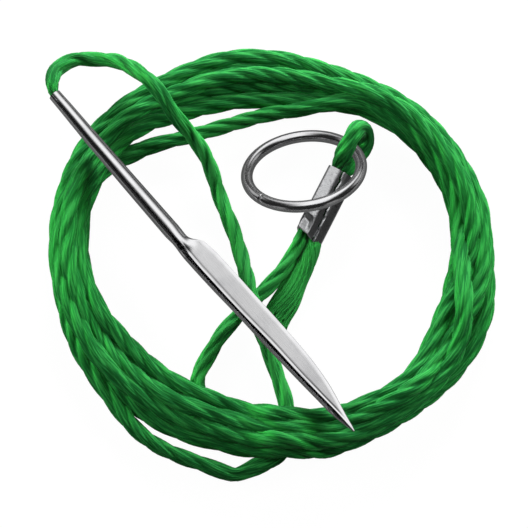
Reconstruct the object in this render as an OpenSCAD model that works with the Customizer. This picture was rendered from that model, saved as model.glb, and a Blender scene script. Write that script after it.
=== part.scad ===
// Fish stringer.
// A laid cord lies in a loose coil of six turns. One end rises over the coil
// and runs into the crimped mouth of a hollow needle that lies across it. The
// other end passes through a crimped sleeve, turns round a wire ring, comes
// back through the sleeve and ends in a frayed tail.
// +X is to the right, +Y away from the viewer and +Z up. The part stands on
// z = 0, with its middle over the origin.

/* [Cord] */
// Diameter of the cord
cord_d = 4; // [3.6:0.1:4.4]
// Width of the frayed tail at its loose end
fray_w = 7; // [5:0.5:9]
// Thickness of the frayed tail at its loose end
fray_t = 1.6; // [1.2:0.1:2]
// Depth of the cord's end inside the needle's mouth
grip_depth = 4; // [2:0.5:8]

/* [Coil] */
// Outer diameter of the coil, without its loose turns
coil_d = 110.6; // [100:0.2:130]
// Gap between neighbouring turns of one layer
turn_gap = 0.5; // [0.45:0.05:0.8]
// Gap between the two layers
layer_gap = 0.5; // [0.45:0.05:0.8]
// Radius of the bends where the two strands leave the coil
lead_bend_r = 8; // [7:0.5:9]
// How far one outer turn bulges out of the coil
loose_out = 5.5; // [0:0.5:8]
// How far one inner turn sags into the coil's middle
loose_in = 10; // [0:0.5:11]

/* [Needle] */
// Length of the needle from mouth to tip
needle_len = 116; // [105:0.5:125]
// Length of its round shank
shank_len = 50.4; // [40:0.2:60]
// Outer diameter of the shank
shank_d = 4; // [3.6:0.1:4.4]
// Outer diameter of the crimped mouth
mouth_d = 2.8; // [2.4:0.1:3.2]
// Length over which the shank narrows to the mouth
crimp_len = 17; // [10:0.5:25]
// Thickness of the rolled sheet
sheet_t = 0.6; // [0.4:0.05:0.7]
// Greatest width of the blade
blade_w = 7; // [6:0.1:7.5]
// Thickness of the folded blade
blade_t = 2.2; // [2:0.1:2.6]
// Width of the lower sheet's rim beside the slot
rim_w = 0.5; // [0.4:0.1:0.8]
// Width of the slot along the blade
slot_w = 1.4; // [1:0.1:1.8]
// Width of the seam along the shank
seam_w = 0.3; // [0.2:0.05:0.4]
// Gap between the needle and the coil that it lies on
rest_gap = 0.3; // [0.2:0.05:0.6]

/* [Sleeve] */
// Length of the crimped sleeve
sleeve_len = 18.3; // [15:0.1:20]
// Width of the flattened sleeve
sleeve_w = 7.4; // [7:0.1:8]
// Thickness of the flattened sleeve
sleeve_h = 4.8; // [4.6:0.1:5.4]
// Wall of the sleeve
sleeve_wall = 0.6; // [0.4:0.05:0.7]
// Gap round each leg of the cord inside the sleeve
leg_gap = 0.1; // [0.05:0.05:0.2]
// Depth of the crimping dents
dent_depth = 0.3; // [0.1:0.05:0.35]

/* [Ring] */
// Outer diameter of the ring
ring_d = 31.6; // [30.8:0.1:33]
// Diameter of the ring's wire
wire_d = 2.7; // [2.2:0.1:3]
// Gap where the ring's ends meet
joint_gap = 0.2; // [0.1:0.05:0.5]

/* [Hidden] */

CORD_GREEN = [0.12, 0.55, 0.25];
NICKEL = [0.80, 0.80, 0.82];
TIN = [0.66, 0.67, 0.68];

// Fineness of the round metal pieces, and of what a hull blends
$fn = 64;
blend_fn = 32;
// One overrun for every cut, and the smallest gap left above the floor
overrun = 1;
floor_gap = 0.05;
up = [0, 0, 1];

// Counts of the coil: rings in one turn, turns wound in each layer, and turns
// in the climb between the layers
turn_rings = 24;
upper_turns = 3.25;
climb_turns = 0.5;
lower_turns = 2.25;
coil_sides = 6;
cord_sides = 8;
lead_rings = 6;

// Place of the coil's middle, the angle at which the needle's strand joins it,
// and how much further than whole turns it runs before the ring's strand leaves
coil_x = 1;
coil_y = 0.9;
join_deg = 257;
extra_deg = 4;
// Headings of the two strands where they meet the coil
needle_strand_deg = -75;
ring_strand_deg = 65;
// Directions and half spans of the bulging and the sagging turn
out_deg = 252;
out_span = 35;
in_deg = 112;
in_span = 40;

// A cord of this coil rests on a flat a tenth of its diameter deep
cord_r = cord_d / 2;
flat_depth = cord_d / 10;
side_r = cord_r * cos(180 / coil_sides);
lane = 2 * side_r + turn_gap;
low_z = cord_r - flat_depth;
high_z = low_z + cord_d + layer_gap;
coil_top = high_z + cord_r;
outer_r = coil_d / 2 - side_r;
join_r = outer_r - upper_turns * lane;
climb_from = 360 * upper_turns;
climb_to = climb_from + 360 * climb_turns;
wound_deg = climb_to + 360 * lower_turns;
coil_centre = [coil_x, coil_y, 0];

// The needle: place of its mouth and its heading
needle_x = -53.8;
needle_y = 40.6;
needle_deg = -50.5;
needle_z = coil_top + rest_gap + shank_d / 2;
blade_len = needle_len - shank_len;
shoulder_len = shank_d;
bore_d = shank_d - 2 * sheet_t;
mouth_bore_d = mouth_d - 2 * sheet_t;
blade_low = -shank_d / 2;
tip_wall = 4 * sheet_t;
// How far round the shank the seam lies, from its top towards the slot
seam_deg = 40;
// Edges of the blade, in shares of its length and of its greatest width
fold_edge_shares = [
    [0, 0.28], [0.03, 0.38], [0.055, 0.52], [0.1, 0.575], [0.21, 0.65], [0.33, 0.77], [0.39, 0.8],
    [0.47, 0.78], [0.55, 0.73], [0.62, 0.68], [0.71, 0.62], [0.83, 0.45], [0.92, 0.3], [0.985, 0.13],
    [1, 0]
];
slot_edge_shares = [[0.1, -0.28], [0, -0.28]];

// The sleeve: place of its top, which faces the ring, by its direction from the
// coil's middle, how far inside the coil's outer edge it is, and its height
sleeve_top_deg = 50;
sleeve_top_in = 28.6;
sleeve_top_z = 5.5;
sleeve_deg = 63;
sleeve_roll = 35;
// Height of its other mouth, which is near the floor
sleeve_z = sleeve_h / 2 + (sleeve_w - sleeve_h) / 2 * sin(sleeve_roll) + 2 * floor_gap;
sleeve_pitch = asin((sleeve_top_z - sleeve_z) / sleeve_len);
inner_w = sleeve_w - 2 * sleeve_wall;
inner_h = sleeve_h - 2 * sleeve_wall;
leg_off = inner_w / 4;
leg_w = inner_w / 4 - leg_gap;
leg_h = inner_h / 2 - leg_gap;
// Places of the crimping dents and of the seam, in shares of the length and width
dent_shares = [0.25, 0.68];
dent_r = sleeve_h;
seam_share = -0.12;

// The ring: place of its middle from the sleeve's top, how far it leans and
// towards where, and the place of its joint, in degrees from its lowest point
ring_off_x = -9.25;
ring_off_y = -1.05;
ring_tilt = 32.6;
ring_lean = 103.3;
joint_deg = 122;
ring_r = (ring_d - wire_d) / 2;
ring_z = wire_d / 2 + ring_r * sin(ring_tilt) + floor_gap;

// Vectors along the sleeve, across its width, and out of its flat face
sleeve_along = [
    cos(sleeve_pitch) * cos(sleeve_deg), cos(sleeve_pitch) * sin(sleeve_deg), sin(sleeve_pitch)
];
sleeve_rise = [
    -sin(sleeve_pitch) * cos(sleeve_deg), -sin(sleeve_pitch) * sin(sleeve_deg), cos(sleeve_pitch)
];
sleeve_level = [-sin(sleeve_deg), cos(sleeve_deg), 0];
sleeve_across = cos(sleeve_roll) * sleeve_level + sin(sleeve_roll) * sleeve_rise;
sleeve_out = cross(sleeve_along, sleeve_across);
sleeve_top =
    coil_centre + (coil_d / 2 - sleeve_top_in) * around(sleeve_top_deg) + sleeve_top_z * up;
sleeve_mouth = sleeve_top - sleeve_len * sleeve_along;
function sleeve_point(along, across) =
    sleeve_mouth + along * sleeve_along + across * sleeve_across;
ring_centre = [sleeve_top[0] + ring_off_x, sleeve_top[1] + ring_off_y, ring_z];

// The needle's mouth and its direction
needle_mouth = [needle_x, needle_y, needle_z];
needle_along = [cos(needle_deg), sin(needle_deg), 0];

// Small vector tools
function unit(v) = v / norm(v);
function around(deg) = [cos(deg), sin(deg), 0];
function hump(deg, middle, span) =
    let (away = (deg - middle) / span)
    abs(away) < 1 ? pow(cos(90 * away), 2) : 0;

// The coil's centre line: t is the angle wound since the needle's strand joined
function climb_part(t) =
    (t - climb_from) / (climb_to - climb_from);
function coil_z(t) =
    t < climb_from ? high_z
    : t > climb_to ? low_z
    : low_z + (high_z - low_z) * (1 + cos(180 * climb_part(t))) / 2;
function spiral_r(t) =
    t < climb_from ? join_r + lane * t / 360
    : t > climb_to ? outer_r - lane * (t - climb_to) / 360
    : outer_r + lane * climb_turns * 2 * climb_part(t) * (1 - climb_part(t));
// Angles wound when the coil passes the bulge's and the sag's directions
out_at = join_deg - out_deg + 360 * ceil((climb_to - join_deg + out_deg) / 360);
in_at = join_deg - in_deg + 360 * floor((wound_deg - join_deg + in_deg) / 360);
function coil_r(t) =
    spiral_r(t) + loose_out * hump(t, out_at, out_span) - loose_in * hump(t, in_at, in_span);
function coil_point(t) =
    coil_centre + coil_r(t) * around(join_deg - t) + coil_z(t) * up;
coil_wound = [
    for (k = [0:round(wound_deg / 360 * turn_rings)]) coil_point(k * 360 / turn_rings)
];
// The coil's last place lies on the chord to where its next ring would be
step_share = extra_deg * turn_rings / 360;
leave_point =
    (1 - step_share) * coil_point(wound_deg) + step_share * coil_point(wound_deg + 360 / turn_rings);

// The bend between the needle's strand and the coil, and its straight start
join_bend_centre = coil_centre + (join_r - lead_bend_r) * around(join_deg) + high_z * up;
join_bend_from = needle_strand_deg + 90 + 360;
function join_bend_point(k) =
    join_bend_centre
    + lead_bend_r * around(join_bend_from + (join_deg - join_bend_from) * k / lead_rings);
needle_strand_end = join_bend_point(0) - cord_d * around(needle_strand_deg);

// The bend between the coil and the ring's strand, and its straight end
leave_deg = join_deg - extra_deg;
leave_bend_centre = leave_point - lead_bend_r * around(leave_deg);
leave_bend_to = ring_strand_deg + 90;
function leave_bend_rise(k) =
    (cord_r - low_z) * max(0, 2 * k / lead_rings - 1);
function leave_bend_point(k) =
    leave_bend_centre
    + lead_bend_r * around(leave_deg + (leave_bend_to - leave_deg) * k / lead_rings)
    + leave_bend_rise(k) * up;
ring_strand_end = leave_bend_point(lead_rings) + cord_d * around(ring_strand_deg);

coil_line = [
    needle_strand_end,
    for (k = [0:lead_rings - 1]) join_bend_point(k),
    each coil_wound,
    for (k = [0:lead_rings]) leave_bend_point(k),
    ring_strand_end
];

// Route of the needle's strand. Its first three places lie inside the mouth, at
// it and just out of it, and its last one is the coil's end
needle_route = [
    needle_mouth + grip_depth * needle_along,
    needle_mouth,
    needle_mouth - sheet_t * needle_along,
    [-54.5, 42.5, 10.5],
    [-54.5, 45.5, 9.5],
    [-54, 48, 8],
    [-52, 50.5, 6.5],
    [-49, 52.5, 5],
    [-44.5, 52.5, 5],
    [-38, 50.5, 8],
    [-31.5, 45, 12],
    [-27.5, 40.5, 12.5],
    [-23.5, 34.5, 11],
    [-19.5, 30.5, 8],
    [-15.5, 25, 5],
    [-12, 15.5, 2],
    [-8, 4.5, 2.5],
    [-5, -8, 6],
    [-4, -13, 6],
    [-2, -19.5, 6],
    needle_strand_end
];
needle_lead_end = 4;

// Route of the ring's strand, from the sleeve's left mouth to the coil's end.
// Each place on its way is a share of the distance and a step to its left
left_mouth = sleeve_point(0, leg_off);
ring_lead = [left_mouth + [-0.7, -1.7, -1.1], left_mouth + [-2.2, -4.7, -2.1]];
function on_way(from, to, share, aside) =
    from + share * (to - from) + aside * unit(cross(to - from, up));
ring_route = [
    left_mouth,
    each ring_lead,
    for (w = [[0.11, -0.6], [0.33, -0.3], [0.57, 0.8], [0.79, 1.1]])
        on_way(ring_lead[1], ring_strand_end, w[0], w[1]),
    ring_strand_end
];
ring_lead_end = 2;

// Route of the tail, from the sleeve's right mouth to its frayed end
right_mouth = sleeve_point(0, -leg_off);
tail_steps = [
    [0, 0, 0],
    [0.4, -1.7, 0.1],
    [-1.1, -6.2, -0.4],
    [-3.6, -10.7, -0.9],
    [-6.1, -15.7, -0.9],
    [-8.6, -20.2, -1.3],
    [-9.1, -21.7, -1.4]
];
tail_route = [for (s = tail_steps) right_mouth + s];
tail_lead_end = 2;

// Route of the eye: up the left leg, round the ring and down the right leg
eye_steps = [
    [-0.2, 2.6, 3],
    [1.3, 4.6, 5],
    [3.3, 7.6, 5.5],
    [4.3, 9.6, 4],
    [5.8, 10.1, 1.5],
    [6.3, 8.6, -1.5],
    [5.3, 5.6, -2.5],
    [3.3, 2.6, -2]
];
eye_route = [
    sleeve_point(0, leg_off),
    sleeve_point(sleeve_len / 2, leg_off),
    sleeve_point(sleeve_len, leg_off),
    sleeve_point(sleeve_len + 2 * sleeve_wall, leg_off),
    for (s = eye_steps) sleeve_top + s,
    sleeve_point(sleeve_len + 2 * sleeve_wall, -leg_off),
    sleeve_point(sleeve_len, -leg_off),
    sleeve_point(sleeve_len / 2, -leg_off),
    sleeve_point(0, -leg_off)
];

// Half width and half height of the cord at each ring of its routes
lead_r = mouth_bore_d / 2 - leg_gap / 2;
full = [cord_r, cord_r];
leg = [leg_w, leg_h];
needle_sizes = [
    [lead_r, lead_r], [lead_r, lead_r], [mouth_d / 2, mouth_d / 2],
    for (k = [3:len(needle_route) - 1]) full
];
ring_sizes = [
    leg, leg, (leg + full) / 2,
    for (k = [3:len(ring_route) - 1]) full
];
// Shares of the tail's spread from a leg of the cord to the flat frayed end
fray_shares = [0, 0, 0.15, 0.4, 0.65, 0.9, 1];
tail_sizes = [for (s = fray_shares) (1 - s) * leg + s * [fray_w, fray_t] / 2];
eye_sizes = [
    for (k = [0:3]) leg,
    for (k = [4:len(eye_route) - 5]) full,
    for (k = [0:3]) leg
];

// Swept tube: rings of points square to the route, joined by triangles. Its two
// end faces are square to the given end directions
function tangent(line, i, ends) =
    i == 0 ? ends[0]
    : i == len(line) - 1 ? ends[1]
    : unit(line[i + 1] - line[i - 1]);
function ring_points(centre, along, ref, size, sides) =
    let (across = unit(cross(along, ref)), over = cross(across, along))
    [
        for (k = [0:sides - 1])
            let (a = 360 * (k + 0.5) / sides)
            centre + size[0] * cos(a) * across + size[1] * sin(a) * over
    ];
function tube_rings(line, ends, sizes, ref, sides) = [
    for (i = [0:len(line) - 1])
        ring_points(line[i], tangent(line, i, ends), ref, sizes[i], sides)
];
function part_of(list, from, to) = [for (i = [from:to]) list[i]];

module tube(rings) {
    sides = len(rings[0]);
    last = (len(rings) - 1) * sides;
    polyhedron(
        points = [for (r = rings, p = r) p],
        faces = [
            for (i = [0:len(rings) - 2], k = [0:sides - 1])
                let (a = i * sides + k, b = i * sides + (k + 1) % sides)
                each [[a, b, b + sides], [a, b + sides, a + sides]],
            for (k = [1:sides - 2])
                each [[0, k + 1, k], [last, last + k, last + k + 1]]
        ]
    );
}

// Least gap of the coil to itself, from each ring's corners to the edges of
// every ring near it that is not its neighbour along the cord
function off_edge(p, a, b) =
    let (along = b - a, share = max(0, min(1, (p - a) * along / (along * along))))
    norm(p - a - share * along);
function ring_gap(rings, i, j) =
    min([
        for (p = rings[i], k = [0:coil_sides - 1])
            let (q = rings[j], next = rings[min(j + 1, len(rings) - 1)])
            min(off_edge(p, q[k], q[(k + 1) % coil_sides]), off_edge(p, q[k], next[k]))
    ]);
function least_gap(line, rings) =
    min([
        for (i = [0:len(line) - 1], j = [0:len(line) - 1])
            if (abs(i - j) > lead_rings && norm(line[i] - line[j]) < cord_d + 3 * side_r)
                ring_gap(rings, i, j)
    ]);

needle_strand_dir = around(needle_strand_deg);
ring_strand_dir = around(ring_strand_deg);
tail_dir = unit(tail_route[len(tail_route) - 1] - tail_route[len(tail_route) - 2]);
needle_rings =
    tube_rings(needle_route, [-needle_along, needle_strand_dir], needle_sizes, up, cord_sides);
ring_strand_rings =
    tube_rings(ring_route, [-sleeve_along, -ring_strand_dir], ring_sizes, up, cord_sides);
tail_rings = tube_rings(tail_route, [-sleeve_along, tail_dir], tail_sizes, up, cord_sides);
eye_rings =
    tube_rings(eye_route, [sleeve_along, -sleeve_along], eye_sizes, sleeve_out, cord_sides);
coil_rings = tube_rings(
    coil_line, [needle_strand_dir, ring_strand_dir], [for (p = coil_line) full], up, coil_sides
);

// Outline of the folded blade, from the shoulder to the tip
module blade_outline() {
    polygon([for (s = concat(fold_edge_shares, slot_edge_shares)) [s[0] * blade_len, s[1] * blade_w]]);
}

// The blade's hollow, inside its fold and its rim
module blade_hollow() {
    intersection() {
        translate([-tip_wall, -sheet_t]) blade_outline();
        translate([0, rim_w]) blade_outline();
    }
}

// Strip of the upper sheet that is missing along the slot
module blade_slot() {
    difference() {
        blade_hollow();
        translate([0, rim_w + slot_w]) blade_outline();
    }
}

module along_x() {
    rotate([0, 90, 0]) children();
}

module needle() {
    color(NICKEL)
    translate(needle_mouth)
    rotate([0, 0, needle_deg])
    difference() {
        union() {
            along_x() cylinder(d1 = mouth_d, d2 = shank_d, h = crimp_len);
            translate([crimp_len, 0, 0]) along_x() cylinder(d = shank_d, h = shank_len - crimp_len);
            shoulder();
            translate([shank_len, 0, blade_low]) linear_extrude(blade_t) blade_outline();
        }
        translate([-overrun, 0, 0]) along_x() cylinder(d = mouth_bore_d, h = crimp_len);
        along_x() cylinder(d1 = mouth_bore_d, d2 = bore_d, h = crimp_len);
        translate([crimp_len, 0, 0])
            along_x() cylinder(d = bore_d, h = shank_len - crimp_len + shoulder_len / 2);
        translate([shank_len, 0, blade_low + sheet_t])
            linear_extrude(blade_t - 2 * sheet_t) blade_hollow();
        translate([shank_len + shoulder_len, 0, blade_low + sheet_t])
            linear_extrude(blade_t) slot_past_shoulder();
        rotate([seam_deg, 0, 0])
            translate([-overrun, -seam_w / 2, 0]) cube([shank_len + overrun, seam_w, shank_d]);
    }
}

// The slot starts where the shoulder ends
module slot_past_shoulder() {
    intersection() {
        translate([-shoulder_len, 0]) blade_slot();
        translate([0, -blade_w]) square([blade_len, 2 * blade_w]);
    }
}

// Where the round shank flattens into the blade
module shoulder() {
    hull() {
        translate([shank_len - sheet_t, 0, 0])
            along_x() cylinder(d = shank_d, h = sheet_t, $fn = blend_fn);
        translate([shank_len, 0, blade_low]) linear_extrude(blade_t) intersection() {
            blade_outline();
            translate([0, -blade_w]) square([shoulder_len, 2 * blade_w]);
        }
    }
}

module needle_lead() {
    color(CORD_GREEN) tube(part_of(needle_rings, 0, needle_lead_end));
}

module strand_to_needle() {
    color(CORD_GREEN) tube(part_of(needle_rings, needle_lead_end, len(needle_rings) - 1));
}

module cord_coil() {
    echo(least_gap_mm = least_gap(coil_line, coil_rings));
    color(CORD_GREEN) difference() {
        tube(coil_rings);
        translate([coil_x, coil_y, -cord_d])
            cylinder(r = outer_r + loose_out + cord_d, h = cord_d);
    }
}

module strand_to_ring() {
    color(CORD_GREEN) tube(part_of(ring_strand_rings, ring_lead_end, len(ring_strand_rings) - 1));
}

module strand_lead() {
    color(CORD_GREEN) tube(part_of(ring_strand_rings, 0, ring_lead_end));
}

module tail_lead() {
    color(CORD_GREEN) tube(part_of(tail_rings, 0, tail_lead_end));
}

module cord_tail() {
    color(CORD_GREEN) tube(part_of(tail_rings, tail_lead_end, len(tail_rings) - 1));
}

module cord_eye() {
    color(CORD_GREEN) tube(eye_rings);
}

// Flat oval of a given width and height
module oval(w, h) {
    square([w - h, h], center = true);
    for (s = [-1, 1]) translate([s * (w - h) / 2, 0]) circle(d = h);
}

module crimp_sleeve() {
    color(TIN)
    translate(sleeve_mouth)
    rotate([sleeve_roll, -sleeve_pitch, sleeve_deg])
    difference() {
        rotate([90, 0, 90]) linear_extrude(sleeve_len) oval(sleeve_w, sleeve_h);
        translate([-overrun, 0, 0])
            rotate([90, 0, 90]) linear_extrude(sleeve_len + 2 * overrun) oval(inner_w, inner_h);
        for (s = dent_shares)
            translate([s * sleeve_len, 0, sleeve_h / 2 - dent_depth + dent_r])
                rotate([90, 0, 0]) cylinder(r = dent_r, h = sleeve_w, center = true);
        translate([-overrun, seam_share * sleeve_w - seam_w / 2, 0])
            cube([sleeve_len + 2 * overrun, seam_w, sleeve_h]);
    }
}

module ring() {
    gap_deg = joint_gap / ring_r * 180 / PI;
    color(NICKEL)
    translate(ring_centre)
    rotate([0, ring_tilt, ring_lean])
    rotate([0, 0, joint_deg + gap_deg / 2])
    rotate_extrude(angle = 360 - gap_deg)
    translate([ring_r, 0])
    circle(d = wire_d);
}

needle();
needle_lead();
strand_to_needle();
cord_coil();
strand_to_ring();
strand_lead();
tail_lead();
cord_tail();
crimp_sleeve();
cord_eye();
ring();
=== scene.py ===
"""Fish stringer: a coil of laid green cord with a hollow needle and a ring.

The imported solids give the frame. The cord, the needle, the ring and the
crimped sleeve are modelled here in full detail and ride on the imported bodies.
Shapes are given in millimetres and become metres in Blender.
"""
import logging
import math
from dataclasses import dataclass
from enum import Enum

import bpy
import numpy as np
from mathutils import Matrix, Vector


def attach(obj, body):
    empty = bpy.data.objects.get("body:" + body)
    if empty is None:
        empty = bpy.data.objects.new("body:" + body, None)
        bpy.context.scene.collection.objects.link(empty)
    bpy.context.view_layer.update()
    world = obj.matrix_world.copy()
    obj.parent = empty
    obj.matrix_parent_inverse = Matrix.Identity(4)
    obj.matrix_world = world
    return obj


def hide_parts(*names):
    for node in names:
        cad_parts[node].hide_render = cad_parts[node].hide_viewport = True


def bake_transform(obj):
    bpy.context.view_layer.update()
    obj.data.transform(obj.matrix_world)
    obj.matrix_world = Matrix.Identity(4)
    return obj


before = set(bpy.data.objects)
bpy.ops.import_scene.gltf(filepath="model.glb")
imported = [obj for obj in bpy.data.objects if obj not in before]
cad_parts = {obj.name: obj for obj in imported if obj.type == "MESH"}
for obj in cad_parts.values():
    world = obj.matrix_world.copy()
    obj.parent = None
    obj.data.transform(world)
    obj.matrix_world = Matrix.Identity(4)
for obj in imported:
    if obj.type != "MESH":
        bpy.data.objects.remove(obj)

LOG = logging.getLogger("stringer")
MM = 0.001
FULL_TURN = 2 * math.pi
LUSTROUS = "lustrous_cord"
WHITE = (1, 1, 1, 1)
Point = tuple[float, float, float]
Pair = tuple[float, float]


class Body(str, Enum):
    """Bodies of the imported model."""

    COIL = "coil"
    NEEDLE = "needle"
    SLEEVE = "sleeve"
    RING = "ring"


# Shader tools


class Value:
    """A socket's number, which takes part in arithmetic by adding Math nodes."""

    def __init__(self, shader: "Shader", socket: bpy.types.NodeSocket) -> None:
        """Keeps the shader and its output socket."""
        self.shader = shader
        self.socket = socket

    def _math(self, operation: str, *values: "Value | float") -> "Value":
        """Adds one Math node of the given operation."""
        return self.shader.node("ShaderNodeMath", {"operation": operation}, *values)

    def __add__(self, other: "Value | float") -> "Value":
        """Sum."""
        return self._math("ADD", self, other)

    def __rsub__(self, other: float) -> "Value":
        """Difference from a number."""
        return self._math("SUBTRACT", other, self)

    def __mul__(self, other: "Value | float") -> "Value":
        """Product."""
        return self._math("MULTIPLY", self, other)

    def __truediv__(self, other: "Value | float") -> "Value":
        """Quotient."""
        return self._math("DIVIDE", self, other)

    def __abs__(self) -> "Value":
        """Size without the sign."""
        return self._math("ABSOLUTE", self)

    def up_to(self, other: "Value | float") -> "Value":
        """The lesser of the two."""
        return self._math("MINIMUM", self, other)

    def step(self, low: float, high: float) -> "Value":
        """A smooth step from 0 at low to 1 at high, or down where low is the greater."""
        kind = {"interpolation_type": "SMOOTHSTEP"}
        if low > high:
            return 1 - self.shader.node("ShaderNodeMapRange", kind, self, high, low)
        return self.shader.node("ShaderNodeMapRange", kind, self, low, high)


class Shader:
    """The node tree of a material or a world, filled through one method."""

    def __init__(self, owner: "bpy.types.Material | bpy.types.World") -> None:
        """Empties the owner's node tree."""
        self.owner = owner
        owner.use_nodes = True
        self.tree = owner.node_tree
        self.tree.nodes.clear()

    def node(self, kind: str, settings: dict | None = None, *inputs: object, **named: object) -> Value:
        """Adds a node.

        Args:
            kind: The node's type.
            settings: Its properties, which are set first.
            inputs: Values or links for its first sockets, in order.
            named: Values or links by the socket's name, with _ for a space.

        Returns:
            The node's first output that is switched on.
        """
        made = self.tree.nodes.new(kind)
        for key, value in (settings or {}).items():
            setattr(made, key, value)
        sockets = [s for s in made.inputs if s.enabled]
        pairs = list(zip(sockets, inputs))
        pairs += [(next(s for s in sockets if s.name == k.replace("_", " ")), v) for k, v in named.items()]
        for socket, value in pairs:
            if isinstance(value, Value):
                self.tree.links.new(value.socket, socket)
            elif value is not None:
                socket.default_value = value
        return Value(self, next((s for s in made.outputs if s.enabled), None))

    def output(self, made: Value, name: str) -> Value:
        """Another output of the node that made a value."""
        return Value(self, made.socket.node.outputs[name])

    def object_point(self) -> Value:
        """The point in the object's own coordinates, in metres."""
        return self.output(self.node("ShaderNodeTexCoord"), "Object")

    def parts(self, vector: Value) -> tuple[Value, Value, Value]:
        """The three parts of a vector."""
        first = self.node("ShaderNodeSeparateXYZ", None, vector)
        return first, self.output(first, "Y"), self.output(first, "Z")

    def vector(self, x: Value, y: Value, z: "Value | float" = 0.0) -> Value:
        """A vector of three values."""
        return self.node("ShaderNodeCombineXYZ", None, x, y, z)

    def noise(self, vector: Value, scale: float, detail: float) -> Value:
        """Smooth noise from 0 to 1."""
        return self.node("ShaderNodeTexNoise", None, Vector=vector, Scale=scale, Detail=detail)

    def blend(self, share: Value, first: "Value | Point", second: Point) -> Value:
        """A colour between two colours."""
        before = first if isinstance(first, Value) else (*first, 1.0)
        return self.node("ShaderNodeMix", {"data_type": "RGBA"}, Factor=share, A=before, B=(*second, 1.0))

    def bump(self, height: Value, depth: float, strength: float) -> Value:
        """A normal bent by a height from 0 to 1 that stands for a depth."""
        return self.node("ShaderNodeBump", None, Strength=strength, Distance=depth, Height=height)

    def principled(self, **sockets: object) -> bpy.types.Material:
        """Finishes the material with a Principled surface of these sockets."""
        return self.finish(self.node("ShaderNodeBsdfPrincipled", None, **sockets))

    def finish(self, surface: Value) -> "bpy.types.Material | bpy.types.World":
        """Links a surface to the tree's output and gives the tree's owner."""
        kind = "World" if isinstance(self.owner, bpy.types.World) else "Material"
        self.node(f"ShaderNodeOutput{kind}", None, Surface=surface)
        return self.owner


def new_material(name: str) -> Shader:
    """The empty tree of a new material."""
    return Shader(bpy.data.materials.new(name))


# Finishes


@dataclass(frozen=True)
class CordFinish:
    """Lustrous green fibres of the laid cord. UV is in millimetres, along and round it."""

    dark: Point = (0.011, 0.118, 0.027)
    middle: Point = (0.015, 0.190, 0.041)
    light: Point = (0.040, 0.340, 0.070)
    gloss: tuple[float, ...] = (0.13, 1.0, 0.16, 1.0)
    roughness: float = 0.56
    # Length and width of the streaks of single fibres and of bundles, in millimetres
    fibre: Pair = (6.5, 0.38)
    bundle: Pair = (26.0, 1.5)
    skew: float = 0.27
    patch_scale: float = 60.0
    # What the fibres' edges, the fibres, the bundles and the patches add to the least tone
    shares: tuple[float, ...] = (0.23, 0.12, 0.45, 0.13)
    least: float = 0.03
    bump: float = 0.0003

    def make(self) -> bpy.types.Material:
        """Builds the material. A height of 0 is a groove, painted in shade, of 1 a strand's top, and of more
        a fibre painted with a highlight.
        """
        s = new_material("laid_cord")
        along, around, _ = s.parts(s.output(s.node("ShaderNodeTexCoord"), "UV"))
        twisted = around + along * self.skew
        fibre = s.noise(s.vector(along / self.fibre[0], twisted / self.fibre[1]), 1.0, 3.0)
        bundle = s.noise(s.vector(along / self.bundle[0] + 7, twisted / self.bundle[1]), 1.0, 1.0)
        patch = s.noise(s.object_point(), self.patch_scale, 1.0)
        painted_shading = s.output(s.node("ShaderNodeAttribute", {"attribute_name": "painted_shading"}), "Fac")
        by_edge, by_fibre, by_bundle, by_patch = self.shares
        tone = fibre.step(0.38, 0.62) * by_edge + fibre * by_fibre + bundle * by_bundle + patch * by_patch
        tone = tone + self.least
        colour = s.blend(tone.step(0.38, 0.53), self.dark, self.middle)
        colour = s.blend(tone.step(0.48, 0.62), colour, self.light)
        # Painted shade: grooves and shaded strands are blended towards the dark colour
        colour = s.blend(painted_shading.step(0.65, 0.0) * 0.5, colour, self.dark)
        # Painted highlight: strands above a height of 0.9 are blended towards the light colour
        colour = s.blend(painted_shading.step(0.9, 1.6) * 0.9, colour, self.light)
        return s.principled(
            Base_Color=colour,
            Roughness=fibre * -0.16 + self.roughness,
            Normal=s.bump(fibre * 0.7 + bundle * 0.3, self.bump, 1.0),
            IOR=1.45,
            Specular_IOR_Level=0.5,
            Specular_Tint=self.gloss,
            Anisotropic=0.85,
            Anisotropic_Rotation=0.30,
            Tangent=s.node("ShaderNodeTangent", {"direction_type": "UV_MAP", "uv_map": "UVMap"}),
        )


class Along(Enum):
    """Direction of a plated piece's polishing lines, as turns about Z."""

    NEEDLE = math.radians(50.5)
    NONE = 0.0


@dataclass(frozen=True)
class PlateFinish:
    """Bright nickel plate with fine polishing lines, small pits and dull patches."""

    name: str
    grain: Along
    colour: Point = (0.80, 0.80, 0.81)
    dull: Point = (0.62, 0.62, 0.64)
    roughness: float = 0.10
    # Length, width and depth of one polishing line
    line: Point = (0.009, 0.00014, 0.000010)
    # Noise scales of scratches without a direction, of dull patches and of pits
    scales: Point = (2600.0, 160.0, 4200.0)

    def make(self) -> bpy.types.Material:
        """Builds the material."""
        s = new_material(self.name)
        point = s.object_point()
        long, wide, deep = self.line
        scratch_scale, cloud_scale, pit_scale = self.scales
        if self.grain is Along.NONE:
            lines = s.noise(point, scratch_scale, 2.0)
        else:
            turned = s.node("ShaderNodeMapping", None, Vector=point, Rotation=(0, 0, self.grain.value))
            x, y, z = s.parts(turned)
            lines = s.noise(s.vector(x / long, y / wide, z / wide), 1.0, 3.0)
        cloud = s.noise(point, cloud_scale, 2.0)
        pit = s.noise(point, pit_scale, 1.0).step(0.66, 0.74)
        return s.principled(
            Base_Color=s.blend(cloud.step(0.45, 0.75) * 0.5 + pit * 0.35, self.colour, self.dull),
            Metallic=1.0,
            Roughness=lines * 0.10 + cloud * 0.06 + self.roughness,
            Normal=s.bump(lines, deep, 0.8),
        )


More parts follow.
